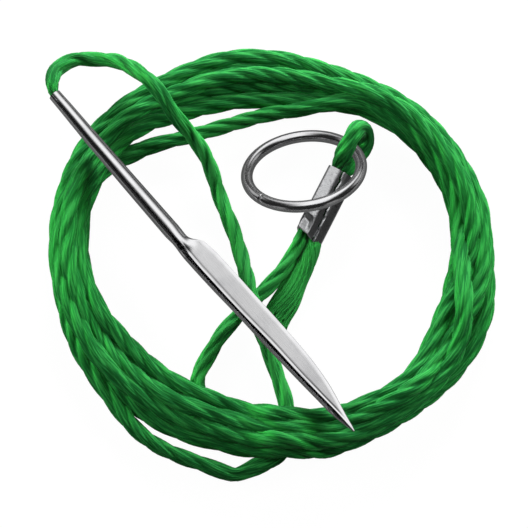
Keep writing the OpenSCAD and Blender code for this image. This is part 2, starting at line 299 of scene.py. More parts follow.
@dataclass(frozen=True)
class CrimpFinish:
    """Satin tin plate, speckled by the crimping die and dark in its scratches."""

    colour: Point = (0.70, 0.71, 0.72)
    dull: Point = (0.36, 0.36, 0.38)
    roughness: float = 0.20
    # Noise scales of the die's grain, of blotches and of pits
    scales: Point = (3000.0, 420.0, 1500.0)
    bump: float = 0.00006

    def make(self) -> bpy.types.Material:
        """Builds the material."""
        s = new_material("crimped_sleeve")
        point = s.object_point()
        grain_scale, blotch_scale, pit_scale = self.scales
        grain = s.noise(point, grain_scale, 3.0)
        blotch = s.noise(point, blotch_scale, 2.0)
        pit = s.noise(point, pit_scale, 1.0).step(0.60, 0.70)
        return s.principled(
            Base_Color=s.blend(grain.step(0.42, 0.70) * 0.35 + pit * 0.45, self.colour, self.dull),
            Metallic=1.0,
            Roughness=grain * 0.16 + blotch * 0.12 + self.roughness,
            Normal=s.bump(grain * 0.6 + blotch * 0.4, self.bump, 0.9),
        )


# Mesh tools


def lone(obj: bpy.types.Object) -> None:
    """Makes an object the only one selected, and the active one."""
    bpy.ops.object.select_all(action="DESELECT")
    obj.select_set(True)
    bpy.context.view_layer.objects.active = obj


def place_new(name: str, data: bpy.types.ID) -> bpy.types.Object:
    """Puts a mesh, a lamp or a camera into the scene as a new object."""
    obj = bpy.data.objects.new(name, data)
    bpy.context.collection.objects.link(obj)
    return obj


def apply_modifier(obj: bpy.types.Object, kind: str, **settings: object) -> None:
    """Adds a modifier and applies it.

    Args:
        obj: The piece.
        kind: The modifier's type.
        settings: Its properties.
    """
    lone(obj)
    made = obj.modifiers.new(kind.lower(), kind)
    for key, value in settings.items():
        setattr(made, key, value)
    bpy.ops.object.modifier_apply(modifier=made.name)


def round_edges(obj: bpy.types.Object, width: float, degrees: float) -> None:
    """Rounds the edges sharper than an angle, by a width in millimetres."""
    limit = math.radians(degrees)
    apply_modifier(obj, "BEVEL", width=width * MM, segments=2, limit_method="ANGLE", angle_limit=limit)


def smooth_over(obj: bpy.types.Object, degrees: float) -> None:
    """Shades smooth where faces meet at less than an angle."""
    lone(obj)
    bpy.ops.object.shade_smooth_by_angle(angle=math.radians(degrees))


def point_outwards(obj: bpy.types.Object) -> None:
    """Turns all faces of a closed piece outwards."""
    lone(obj)
    bpy.ops.object.mode_set(mode="EDIT")
    bpy.ops.mesh.select_all(action="SELECT")
    bpy.ops.mesh.normals_make_consistent(inside=False)
    bpy.ops.object.mode_set(mode="OBJECT")


def dress(
    obj: bpy.types.Object, finish: bpy.types.Material, slot: str, body: Body | None, *nodes: str,
) -> None:
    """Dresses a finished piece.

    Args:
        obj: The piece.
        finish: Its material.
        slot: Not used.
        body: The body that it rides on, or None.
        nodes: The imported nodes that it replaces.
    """
    obj.data.materials.append(finish)
    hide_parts(*nodes)
    if body:
        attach(obj, body.value)


def sheet_blank(name: str, steps_along: int, steps_across: int) -> bpy.types.Object:
    """A flat blank of sheet metal, one unit long and wide, to be rolled.

    Args:
        name: The piece's name.
        steps_along: Faces along X.
        steps_across: Faces along Y.

    Returns:
        The grid, from 0 to 1 along both sides.
    """
    bpy.ops.object.select_all(action="DESELECT")
    bpy.ops.mesh.primitive_grid_add(x_subdivisions=steps_along, y_subdivisions=steps_across, size=1)
    obj = bpy.context.object
    obj.name = obj.data.name = name
    obj.data.transform(Matrix.Translation((0.5, 0.5, 0)))
    return obj


def reshape(obj: bpy.types.Object, points: np.ndarray) -> None:
    """Moves every vertex to its new place, given in millimetres."""
    obj.data.vertices.foreach_set("co", (points * MM).astype(np.float32).ravel())
    obj.data.update()


def places(obj: bpy.types.Object) -> np.ndarray:
    """All vertices of an object, one row each."""
    out = np.empty(len(obj.data.vertices) * 3, np.float32)
    obj.data.vertices.foreach_get("co", out)
    return out.reshape(-1, 3).astype(float)


def cord_piece(
    name: str, points: np.ndarray, faces: list[list[int]], uv: np.ndarray, painted_shading: np.ndarray, caps: int = 0,
) -> bpy.types.Object:
    """Makes a piece of cord.

    Args:
        name: The piece's name.
        points: Its points, in millimetres.
        faces: Numbers of each face's points.
        uv: Places along and round the cord of each face's corners, in millimetres.
        painted_shading: How high on its strand each point lies, which the finish paints as shade in the
            grooves and as a highlight above 1.
        caps: How many faces at the list's end are shaded flat.

    Returns:
        The new object.
    """
    mesh = bpy.data.meshes.new(name)
    mesh.from_pydata((points * MM).tolist(), [], faces)
    mesh.uv_layers.new(name="UVMap").data.foreach_set("uv", uv.astype(np.float32))
    # Stores the painted shade and highlight of each point
    mesh.attributes.new("painted_shading", "FLOAT", "POINT").data.foreach_set("value", painted_shading.astype(np.float32))
    mesh.polygons.foreach_set("use_smooth", [True] * (len(faces) - caps) + [False] * caps)
    return place_new(name, mesh)


# Curve tools


def close(value: np.ndarray | float) -> np.ndarray | float:
    """A smooth step of a share that is cut to 0 to 1."""
    cut = np.clip(value, 0, 1)
    return cut * cut * (3 - 2 * cut)


def unit(vector: np.ndarray) -> np.ndarray:
    """The vector at length 1, along its last axis."""
    return vector / np.maximum(np.linalg.norm(vector, axis=-1, keepdims=True), 1e-12)


def arc_of(line: np.ndarray) -> np.ndarray:
    """How far along a line each of its points lies."""
    return np.r_[0, np.cumsum(np.linalg.norm(np.diff(line, axis=0), axis=1))]


def nearest(line: np.ndarray, point: Point) -> int:
    """Number of a line's point that is nearest to a place."""
    return int(np.linalg.norm(line - np.array(point), axis=1).argmin())


def at_places(places_at: np.ndarray, arc: np.ndarray, rows: np.ndarray) -> np.ndarray:
    """Rows of three numbers, read at new places along a line."""
    return np.stack([np.interp(places_at, arc, rows[:, k]) for k in range(3)], 1)


def waves(places_at: np.ndarray, table: tuple[Point, ...], shift_by: np.ndarray | float = 1.0) -> np.ndarray:
    """The sum of sine waves.

    Args:
        places_at: Where they are read.
        table: Size, wavelength and shift of each.
        shift_by: What the shifts are multiplied by.

    Returns:
        Their sum at each place.
    """
    return sum(size * np.sin(FULL_TURN * places_at / long + shift * shift_by) for size, long, shift in table)


def hermite(f: np.ndarray, a: np.ndarray, b: np.ndarray, ta: np.ndarray, tb: np.ndarray) -> np.ndarray:
    """A smooth way from one value to another.

    Args:
        f: Shares of the way.
        a: The first value.
        b: The second value.
        ta: The change at the first, for the whole way.
        tb: The change at the second.

    Returns:
        The values at those shares.
    """
    start = (2 * f**3 - 3 * f**2 + 1) * a + (f**3 - 2 * f**2 + f) * ta
    return start + (3 * f**2 - 2 * f**3) * b + (f**3 - f**2) * tb


def smooth_interp(x: np.ndarray, table: np.ndarray) -> list[np.ndarray]:
    """Reads the columns of a table by its first column, on smooth curves.

    Args:
        x: Where they are read.
        table: One row for each known place.

    Returns:
        The other columns at those places.
    """
    at, out = table[:, 0], []
    i = np.clip(np.searchsorted(at, x) - 1, 0, len(at) - 2)
    h = at[i + 1] - at[i]
    f = np.clip((x - at[i]) / h, 0, 1)
    for column in table[:, 1:].T:
        slope = np.gradient(column, at)
        out.append(hermite(f, column[i], column[i + 1], slope[i] * h, slope[i + 1] * h))
    return out


def spline(points: list, step: float) -> np.ndarray:
    """An even line on a smooth curve through points.

    Args:
        points: The points that it passes through.
        step: Its spacing.

    Returns:
        One row for each point of the line.
    """
    p = np.array(points, float)
    knots = np.r_[0, np.cumsum(np.linalg.norm(np.diff(p, axis=0), axis=1) ** 0.5)]
    slope = np.zeros_like(p)
    slope[1:-1] = (p[2:] - p[:-2]) / (knots[2:] - knots[:-2])[:, None]
    slope[0] = (p[1] - p[0]) / (knots[1] - knots[0])
    slope[-1] = (p[-1] - p[-2]) / (knots[-1] - knots[-2])
    f = np.linspace(0, 1, 12, endpoint=False)[None, :, None]
    h = np.diff(knots)[:, None, None]
    curve = hermite(f, p[:-1, None], p[1:, None], slope[:-1, None] * h, slope[1:, None] * h)
    curve = np.vstack([curve.reshape(-1, 3), p[-1]])
    arc = arc_of(curve)
    even = np.linspace(0, arc[-1], max(2, round(arc[-1] / step)) + 1)
    return at_places(even, arc, curve)


# Places of the needle and the sleeve


@dataclass(frozen=True)
class NeedleFrame:
    """Place and direction of the needle, in millimetres."""

    mouth: Point = (-53.8, 40.6, 10.4)
    turn: float = math.radians(-50.5)
    length: float = 116.2

    def heading(self) -> np.ndarray:
        """The direction from the mouth to the tip."""
        return np.array([math.cos(self.turn), math.sin(self.turn), 0])

    def put(self, points: np.ndarray) -> np.ndarray:
        """Points of a needle along X from the origin, moved to the needle's place."""
        c, s = math.cos(self.turn), math.sin(self.turn)
        x, y = points[:, 0] * c - points[:, 1] * s, points[:, 0] * s + points[:, 1] * c
        return np.stack([x, y, points[:, 2]], 1) + self.mouth


@dataclass
class SleeveFrame:
    """Place and directions of the crimped sleeve, in millimetres."""

    top: Point = (18.162, 21.353, 5.5)
    length: float = 18.3
    heading: float = math.radians(63)
    pitch: float = math.radians(7.076)
    roll: float = math.radians(35)
    leg: float = 1.55

    def __post_init__(self) -> None:
        """Works out the three directions and the mouth."""
        ch, sh = math.cos(self.heading), math.sin(self.heading)
        cp, sp = math.cos(self.pitch), math.sin(self.pitch)
        self.along = np.array([cp * ch, cp * sh, sp])
        rise, level = np.array([-sp * ch, -sp * sh, cp]), np.array([-sh, ch, 0.0])
        self.across = math.cos(self.roll) * level + math.sin(self.roll) * rise
        self.out = np.cross(self.along, self.across)
        self.mouth = np.array(self.top) - self.length * self.along

    def at(self, along: float, across: float, out: float = 0.0) -> np.ndarray:
        """A point by its place along, across and out of the sleeve."""
        return self.mouth + along * self.along + across * self.across + out * self.out

    def leg_mouth(self, side: int) -> np.ndarray:
        """Where a leg leaves the mouth: 1 for the cord's leg and -1 for the tail's."""
        return self.at(0, side * self.leg)


# The cord


@dataclass
class CoilLine:
    """Centre line of the whole cord, from inside the needle's mouth into the sleeve.

    Six turns lie in three lanes and two layers between the stations' edges.
    They roll over one another as a loosely bound coil's turns do: the outer
    turn moves inwards below, one strand strays into the middle, climbs back and
    crosses over the top. The turns are then eased apart until none overlap.
    """

    sleeve: SleeveFrame
    needle: NeedleFrame
    middle: Point = (1.0, 0.9, 0.0)
    start: float = 265.0
    contact: float = 3.2
    radius: float = 2.0
    # Half width past which the layers nest, lean to the far side and draw in, and how much they do
    narrow: float = 2.5
    lean: float = 1.6
    draw_in: float = 0.2
    # Where the needle's strand lifts the turns: angle, half width in degrees, and height
    hump: Point = (273.0, 15.0, 3.6)
    # Most height below the needle, and the needle's room: length, half width and height
    under_needle: float = 6.3
    needle_room: Point = (116.0, 5.0, 9.0)
    # The easing's rounds, the points that are too near to touch and the points that it fades over
    rounds: int = 90
    apart: int = 4
    fade: float = 8.0
    # Its moves in one round: apart, at most, down, back to the plan, and smoothing
    push: float = 0.28
    most: float = 0.6
    sink: float = 0.035
    pull: float = 0.04
    smooth: float = 0.35
    # The points of the needle's and the ring's strand between which it works
    held: tuple[int, int] = (11, 3)
    step: float = 3.0
    # Size of the cord at the needle's mouth and in its bore, how far out it is pinched, and where along
    # the needle its points lie inside the mouth and just outside it
    pinch: Pair = (0.68, 0.42)
    pinch_reach: float = 6.0
    in_bore: Point = (4.0, 1.5, -0.6)
    # Middle radius and half width of the bundle's lanes every 15 degrees, from 0 degrees
    stations: tuple[tuple[float, float], ...] = (
        (50.0, 3.5), (50.6, 2.2), (50.3, 1.8), (49.8, 2.0), (48.2, 2.2), (46.7, 3.5), (46.9, 5.3),
        (47.9, 5.3), (48.5, 4.0), (50.9, 2.6), (51.6, 2.6), (51.9, 1.9), (50.9, 2.3), (49.9, 2.8),
        (48.9, 4.3), (47.8, 4.8), (47.0, 4.9), (46.5, 4.2), (47.9, 3.9), (49.3, 3.2), (49.6, 2.6),
        (50.8, 2.4), (50.8, 4.3), (50.1, 5.5),
    )
    # Degrees wound, lane from -1 (inner) to 1 (outer), and layer from 0 to 2
    lanes_in: tuple[Point, ...] = (
        (50, 1, 0), (400, 1, 0), (445, 0, 0), (720, 0, 0), (760, -1, 0), (832, -1, 0),
    )
    lanes_out: tuple[Point, ...] = (
        (922, -1, 1), (980, -1, 1), (1002, 0, 1.9), (1022, 1, 1), (1342, 1, 1), (1380, 0, 1),
        (1695, 0, 1), (1735, -1, 1), (1912, -1, 1), (1955, -1, 0), (2125, -1, 0),
    )
    # The strand that strays into the middle, as angle, radius and height
    stray: tuple[Point, ...] = (
        (142, 44.4, 2), (134, 41.3, 2), (124, 38.1, 2), (111.5, 36.5, 2), (96, 37.2, 2), (86, 38.6, 2.6),
    )
    ending: tuple[tuple[float, float], ...] = (
        (279, 44.6), (272, 44.6), (265, 44.65), (259, 44.65), (253, 44.65),
    )
    needle_strand: tuple[Point, ...] = (
        (-54.5, 42.5, 10.5), (-54.5, 45.5, 9.5), (-54, 48, 8), (-52, 50.5, 6.5), (-49, 52.5, 5),
        (-44.5, 52.5, 5), (-38, 50.5, 8), (-31.5, 45, 12), (-27.5, 40.5, 12.5), (-23.5, 34.5, 11),
        (-19.5, 30.5, 8), (-15.5, 25, 5), (-12, 15.5, 2), (-8, 4.5, 2.5), (-5, -8, 6), (-4, -13, 6),
        (-2, -19.5, 5.6), (0.2, -25.4, 4.4), (2, -30.3, 3), (3.4, -34.6, 2.2), (4.4, -38, 2),
        (4.9, -41.8, 2), (4.7, -46, 2), (3.4, -50, 2), (0.6, -52.9, 2), (-3.4, -54.9, 2),
        (-7.9, -56.9, 2), (-11.8, -55.9, 2), (-16, -54.2, 2), (-21.4, -52.2, 2), (-27, -49.5, 2),
        (-31.8, -45.8, 2), (-35.3, -41.3, 2),
    )
    ring_strand: tuple[Point, ...] = (
        (-14.6, -40.2, 2), (-17.2, -36.6, 2), (-17.6, -33.2, 2), (-16.8, -30, 2), (-15.26, -27.1, 2),
        (-11.5, -20.5, 2), (-6.5, -14.5, 2), (-0.5, -8.5, 2), (4.5, -2.5, 2), (6.54, 0.95, 2.03),
    )
    needle_lead_end: Point = (-54.5, 45.5, 9.5)
    ring_lead_end: Point = (6.54, 0.95, 2.03)

    def _polar(self, angle: float, r: float, z: float) -> Point:
        """A point by its angle and radius round the coil's middle."""
        a = math.radians(angle)
        return (self.middle[0] + r * math.cos(a), self.middle[1] + r * math.sin(a), z)

    def _lift(self, angle: float) -> float:
        """How far the needle's strand lifts the turns where it runs below them."""
        at, half, height = self.hump
        share = ((angle - at + 180) % 360 - 180) / half
        return height * math.cos(math.pi / 2 * share) ** 2 if abs(share) < 1 else 0.0

    def _station(self, angle: float) -> Pair:
        """Middle radius and half width of the lanes at an angle, on a smooth curve."""
        count = len(self.stations)
        i, f = divmod(angle % 360 / (360 / count), 1)
        p0, p1, p2, p3 = (np.array(self.stations[int(i + k) % count]) for k in (-1, 0, 1, 2))
        bend = 2 * p0 - 5 * p1 + 4 * p2 - p3 + f * (3 * (p1 - p2) + p3 - p0)
        mid = p1 + 0.5 * f * (p2 - p0 + f * bend)
        return float(mid[0]), float(mid[1])

    def _lane(self, wound: float, lane: float, layer: float) -> Point:
        """A point of the coil.

        Args:
            wound: Degrees wound from the start.
            lane: From -1, the inner lane, to 1, the outer.
            layer: From 0, on the table, to 2.

        Returns:
            The point.
        """
        angle = self.start - wound
        r, w = self._station(angle)
        wide = float(close(w - self.narrow))
        lean = wide * max(-1.0, min(1.0, self.lean * math.sin(math.radians(angle))))
        r, w = r - self.draw_in * lean * w, w * (1 - self.draw_in * wide)
        lift = math.sqrt(max(0.0, self.contact**2 - w * w))
        raised = lift * (1 - min(1.0, abs(lane)))
        low = self.radius + raised
        stacked = max(self.radius + self.contact, self.radius + 2 * lift) + raised
        nested = self.radius + math.sqrt(max(0.0, self.contact**2 - w * w / 4)) + lift * 0.5
        high = stacked + (nested - stacked) * wide
        z = low + (high - low) * layer if layer <= 1 else high + (layer - 1) * self.contact
        return self._polar(angle, r + (lane + 0.5 * lean * min(layer, 1.0)) * w, z + self._lift(angle))

    def _lanes(self, keys: tuple[Point, ...]) -> list[Point]:
        """Points through a list of lane keys, every ten degrees."""
        out = []
        for (t0, lane0, layer0), (t1, lane1, layer1) in zip(keys, keys[1:]):
            n = max(1, round((t1 - t0) / 10))
            for k in range(n):
                s = float(close(k / n))
                lane, layer = lane0 + (lane1 - lane0) * s, layer0 + (layer1 - layer0) * s
                out.append(self._lane(t0 + (t1 - t0) * k / n, lane, layer))
        return [*out, self._lane(*keys[-1])]

    def _apart(self, line: np.ndarray) -> np.ndarray:
        """How far each point of a line moves off the strands that it overlaps."""
        count = np.arange(len(line))
        other = np.abs(count[:, None] - count[None, :]) > self.apart
        gap = line[:, None, :] - line[None, :, :]
        distance = np.sqrt((gap**2).sum(2))
        deep = np.where(other & (distance < self.contact), self.contact - distance, 0)
        move = (gap * (deep / np.maximum(distance, 1e-6))[:, :, None]).sum(1) * self.push
        return move * np.minimum(1, self.most / np.maximum(np.linalg.norm(move, axis=1, keepdims=True), 1e-9))

    def _ease(self, line: np.ndarray, hold: int, loose: int) -> np.ndarray:
        """Eases the turns apart, down to the table and under the needle.

        Args:
            line: The centre line, evenly spaced.
            hold: The first point that moves.
            loose: The point after the last that moves.

        Returns:
            The eased line.
        """
        home, count = line.copy(), np.arange(len(line))
        free = np.clip((count - hold) / self.fade, 0, 1) * np.clip((loose - 1 - count) / self.fade, 0, 1)
        free = free[:, None]
        heading, (long, half, high) = self.needle.heading(), self.needle_room
        for _ in range(self.rounds):
            line = line + self._apart(line) * free
            line[:, 2] -= self.sink * free[:, 0]
            line[:, :2] += (home[:, :2] - line[:, :2]) * self.pull * free
            off = line - home
            for _ in range(2):
                off[1:-1] += self.smooth * ((off[:-2] + off[2:]) / 2 - off[1:-1]) * free[1:-1]
            line = home + off
            line[:, 2] = np.maximum(line[:, 2], self.radius)
            q = line - np.array(self.needle.mouth)
            along, aside = q @ heading, q[:, 0] * heading[1] - q[:, 1] * heading[0]
            below = (along > 0) & (along < long) & (np.abs(aside) < half) & (line[:, 2] < high)
            line[below, 2] = np.minimum(line[below, 2], self.under_needle)
        return line

    def _pinched(self, line: np.ndarray) -> np.ndarray:
        """The cord's size at each point of a line: 1, and less at the needle's mouth and in its bore."""
        away = line - np.array(self.needle.mouth)
        near = np.linalg.norm(away, axis=1)
        at_mouth, in_bore = self.pinch
        outside = at_mouth + (1 - at_mouth) * close(near / 4.5)
        inside = in_bore + (at_mouth - in_bore) * close(1 - near / 2)
        size = np.where(away @ self.needle.heading() > -0.5, inside, outside)
        return np.where(near < self.pinch_reach, size, 1.0)

    def build(self, fine: float) -> tuple[np.ndarray, np.ndarray]:
        """Builds the line.

        Args:
            fine: Spacing of its points.

        Returns:
            The points, in millimetres, and the cord's size at each.
        """
        coil = self._lanes(self.lanes_in) + [self._polar(*p) for p in self.stray]
        coil += self._lanes(self.lanes_out)
        coil += [self._polar(a, r, self.radius + self._lift(a)) for a, r in self.ending]
        coarse = spline([*self.needle_strand, *coil, *self.ring_strand], self.step)
        hold = nearest(coarse, self.needle_strand[self.held[0]])
        loose = nearest(coarse, self.ring_strand[self.held[1]])
        inside = [np.array(self.needle.mouth) + s * self.needle.heading() for s in self.in_bore]
        leg = self.sleeve.leg
        into = [self.sleeve.at(0, leg) + (-0.7, -1.7, -1.1), self.sleeve.at(0, leg, -0.5)]
        into.append(self.sleeve.at(1.6, 1.5, -0.8))
        line = spline([*inside, *self._ease(coarse, hold, loose), *into], fine)
        return line, self._pinched(line)


@dataclass
class LaidCord:
    """Sweeps four twisted strands along a line, and cuts the sweep into pieces."""

    line: np.ndarray
    scale: np.ndarray
    # Directions, each with the size that the cord keeps in it
    squeeze: list[tuple[np.ndarray, np.ndarray]]
    lay: float = 32.0
    first_phase: float = 0.6
    # Distance of a strand's middle from the cord's, and its radius
    offset: float = 0.95
    strand: float = 1.04
    strands: int = 4
    per_strand: int = 7
    girth: float = 12.6
    # Size, wavelength and shift of the waves in the strands' thickness and in their turning
    swells: tuple[Point, ...] = ((0.05, 41, 2.1), (0.04, 17, 1.3))
    drifts: tuple[Point, ...] = ((0.35, 93, 0), (0.2, 38, 1))
    # Size of the rings that go on inside the next piece
    tuck: Point = (0.985, 0.95, 0.88)

    def __post_init__(self) -> None:
        """Works out the rings of points, and each point's height on its strand, which the finish paints as
        shade in the grooves.
        """
        self.arc = arc_of(self.line)
        side, over = self._sides()
        wedge = 360 / self.strands
        part = np.tile((np.arange(self.per_strand) / self.per_strand - 0.5) * wedge, self.strands)
        which = np.repeat(np.arange(self.strands), self.per_strand)
        d = np.radians(part)[None, :]
        s = self.arc[:, None]
        a, b = self.strand * (1 + waves(s, self.swells, which)), self.offset
        reach = b * np.cos(d) + np.sqrt(np.maximum(a * a - (b * np.sin(d)) ** 2, 0.05))
        turn = self.first_phase + FULL_TURN * s / self.lay + waves(s, self.drifts)
        turn = turn + np.radians(which * wedge) + d
        out = np.cos(turn)[:, :, None] * side[:, None] + np.sin(turn)[:, :, None] * over[:, None]
        ring = (reach * self.scale[:, None])[:, :, None] * out
        for direction, keep in self.squeeze:
            axis = np.broadcast_to(direction, side.shape)[:, None, :]
            ring = ring + (ring * axis).sum(2, keepdims=True) * (keep[:, None, None] - 1) * axis
        self.rings = self.line[:, None, :] + ring
        # Height on the strand: 0 in a groove, where the finish paints shade
        self.painted_shading = np.broadcast_to(np.cos(d * 180 / wedge), turn.shape)

    def _sides(self) -> tuple[np.ndarray, np.ndarray]:
        """Two directions across the line at each point, which turn as little as they can."""
        tangent = unit(np.gradient(self.line, axis=0))
        side = np.zeros_like(tangent)
        side[0] = unit(np.cross(tangent[0], (0.1, 0.2, 1.0)))
        for i in range(1, len(side)):
            side[i] = unit(side[i - 1] - (side[i - 1] @ tangent[i]) * tangent[i])
        return side, np.cross(tangent, side)

    def piece(self, name: str, first: int, last: int, tucked: tuple[bool, bool]) -> bpy.types.Object:
        """Makes a closed mesh of some of the rings.

        Args:
            name: The piece's name.
            first: Its first ring.
            last: Its last ring.
            tucked: Whether its start and its end go on, drawn in, inside the next piece.

        Returns:
            The new object.
        """
        tuck = np.array(self.tuck)
        before, after = (tuck[::-1] if tucked[0] else []), (tuck if tucked[1] else [])
        size = np.r_[before, np.ones(last + 1 - first), after]
        first, last = first - len(before), last + len(after)
        middle = self.line[first : last + 1, None]
        rings = middle + size[:, None, None] * (self.rings[first : last + 1] - middle)
        count, sides = rings.shape[:2]
        ids = np.arange(count * sides).reshape(count, sides)
        right = np.roll(ids, -1, axis=1)
        quads = np.stack([ids[:-1], right[:-1], right[1:], ids[1:]], 2).reshape(-1, 4)
        faces = [*quads.tolist(), ids[0][::-1].tolist(), ids[-1].tolist()]
        low = np.tile(np.arange(sides), count - 1) * self.girth / sides
        high = low + self.girth / sides
        here, there = np.repeat(self.arc[first:last], sides), np.repeat(self.arc[first + 1 : last + 1], sides)
        corners = np.stack([here, low, here, high, there, high, there, low], 1)
        uv = np.r_[corners.ravel(), np.zeros(sides * 4)]
        painted_shading = self.painted_shading[first : last + 1].ravel()
        return cord_piece(name, rings.reshape(-1, 3), faces, uv, painted_shading, caps=2)


@dataclass
class FrayedTail:
    """The cord's frayed end beside the sleeve: fibres that leave its mouth twisted and then spread."""

    sleeve: SleeveFrame
    # The route from the sleeve's mouth
    steps: tuple[Point, ...] = (
        (0, 0, 0), (0.4, -1.7, 0.1), (-1.1, -6.2, -0.4), (-3.6, -10.7, -0.9), (-6.1, -15.7, -0.9),
        (-8.6, -20.2, -1.3), (-10.2, -24.2, -1.4),
    )
    spacing: float = 0.8
    fibres: int = 120
    turn: float = 2.39996
    sides: int = 6
    seed: int = 7
    # Share of the length at which the lead ends, and how far the two parts reach into one another
    split: float = 0.30
    overlap: float = 1.5
    least: float = 2.0
    step: float = 1.1
    lay: float = 25.5
    # The tail's half width and half height at the mouth, and what its bulge and its end add to them
    wide: Point = (1.25, 0.55, 1.85)
    tall: Point = (1.35, 0.3, -0.9)

    def __post_init__(self) -> None:
        """Works out the centre line and the directions across it."""
        start = self.sleeve.leg_mouth(-1)
        inside = self.sleeve.at(1.5, -self.sleeve.leg)
        self.line = spline([inside, *(start + s for s in self.steps)], self.spacing)
        self.arc = arc_of(self.line)
        self.length = self.arc[-1]
        tangent = unit(np.gradient(self.line, axis=0))
        self.side = unit(np.cross(tangent, (0, 0, 1.0)))
        self.over = np.cross(self.side, tangent)

    def build(self) -> tuple[bpy.types.Object, bpy.types.Object]:
        """Builds the part that lies on the table, and the part that bends at the sleeve's mouth."""
        return self._part("frayed_tail", self.split, 1.0), self._part("tail_lead_cord", 0.0, self.split)

    def _part(self, name: str, low: float, high: float) -> bpy.types.Object:
        """Makes the fibres between two shares of the tail's length.

        Args:
            name: The piece's name.
            low: The first share.
            high: The second share.

        Returns:
            The new object.
        """
        rng = np.random.default_rng(self.seed)
        points, faces, uv, painted_shading = [], [], [], []
        for k in range(self.fibres):
            reach = self.length * (0.80 + 0.2 * rng.random()) if k % 5 else self.length
            sway, wave, phase = rng.normal(0, 0.10), rng.uniform(0.05, 0.16), rng.uniform(0, 6.28)
            thick = rng.uniform(0.25, 0.35)
            begin = max(0.0, low * self.length - self.overlap)
            end = min(high * self.length + self.overlap * (high < 1), reach)
            if end - begin < self.least:
                continue
            s = np.linspace(begin, end, max(3, int((end - begin) / self.step)) + 1)
            past = np.maximum(low * self.length - s, s - high * self.length if high < 1 else -1)
            size = thick * (1 - 0.35 * (s / self.length)) * (1 - 0.4 * close(past / self.overlap + 0.15))
            grid = len(points) + np.arange(self.sides * len(s)).reshape(self.sides, len(s))
            points += self._skin(k, s, size, 0.8 * thick, sway * 2 + wave * np.sin(s / 2.3 + phase))
            beside = np.roll(grid, -1, axis=0)
            quads = np.stack([grid[:, :-1], grid[:, 1:], beside[:, 1:], beside[:, :-1]], 2)
            faces += [*quads.reshape(-1, 4).tolist(), grid[:, 0].tolist(), grid[::-1, -1].tolist()]
            here, there = np.tile(s[:-1], self.sides), np.tile(s[1:], self.sides)
            left = k * 0.9 + 0.3 * np.repeat(np.arange(self.sides), len(s) - 1)
            right = left + 0.3
            uv += [np.stack([here, left, there, left, there, right, here, right], 1).ravel()]
            uv += [np.zeros(self.sides * 4)]
            # Painted highlight on every fibre of the tail
            painted_shading += [1.55 + 0.3 * math.sin(k * 1.7)] * grid.size
        obj = cord_piece(name, np.array(points), faces, np.concatenate(uv), np.array(painted_shading))
        point_outwards(obj)
        return obj

    def _skin(
        self, k: int, s: np.ndarray, size: np.ndarray, lowest: float, stray: np.ndarray,
    ) -> list[list[float]]:
        """The points round one fibre.

        Args:
            k: The fibre's number, which sets its place in the cord.
            s: How far along the tail each of its rings lies.
            size: Its half thickness there.
            lowest: How low its middle may lie.
            stray: How far it strays to the side where the tail has spread.

        Returns:
            The points, one side of the fibre after another.
        """
        across, up = unit(at_places(s, self.arc, self.side)), unit(at_places(s, self.arc, self.over))
        spread, bulge = close((s - 3) / (self.length - 4)), close((s - 1.2) / 2.5)
        out = math.sqrt((k + 0.5) / self.fibres)
        twist = k * self.turn + FULL_TURN * s / self.lay * (1 - 0.75 * spread)
        wide, tall = (base + more * bulge + last * spread for base, more, last in (self.wide, self.tall))
        x = out * np.cos(twist) * wide + 0.35 * bulge + spread * stray
        z = out * np.sin(twist) * tall
        centre = at_places(s, self.arc, self.line) + x[:, None] * across + z[:, None] * up
        centre[:, 2] = np.maximum(centre[:, 2], lowest)
        points = []
        for j in range(self.sides):
            q = FULL_TURN * j / self.sides
            points += (centre + size[:, None] * (math.cos(q) * 1.5 * across + math.sin(q) * up)).tolist()
        return points


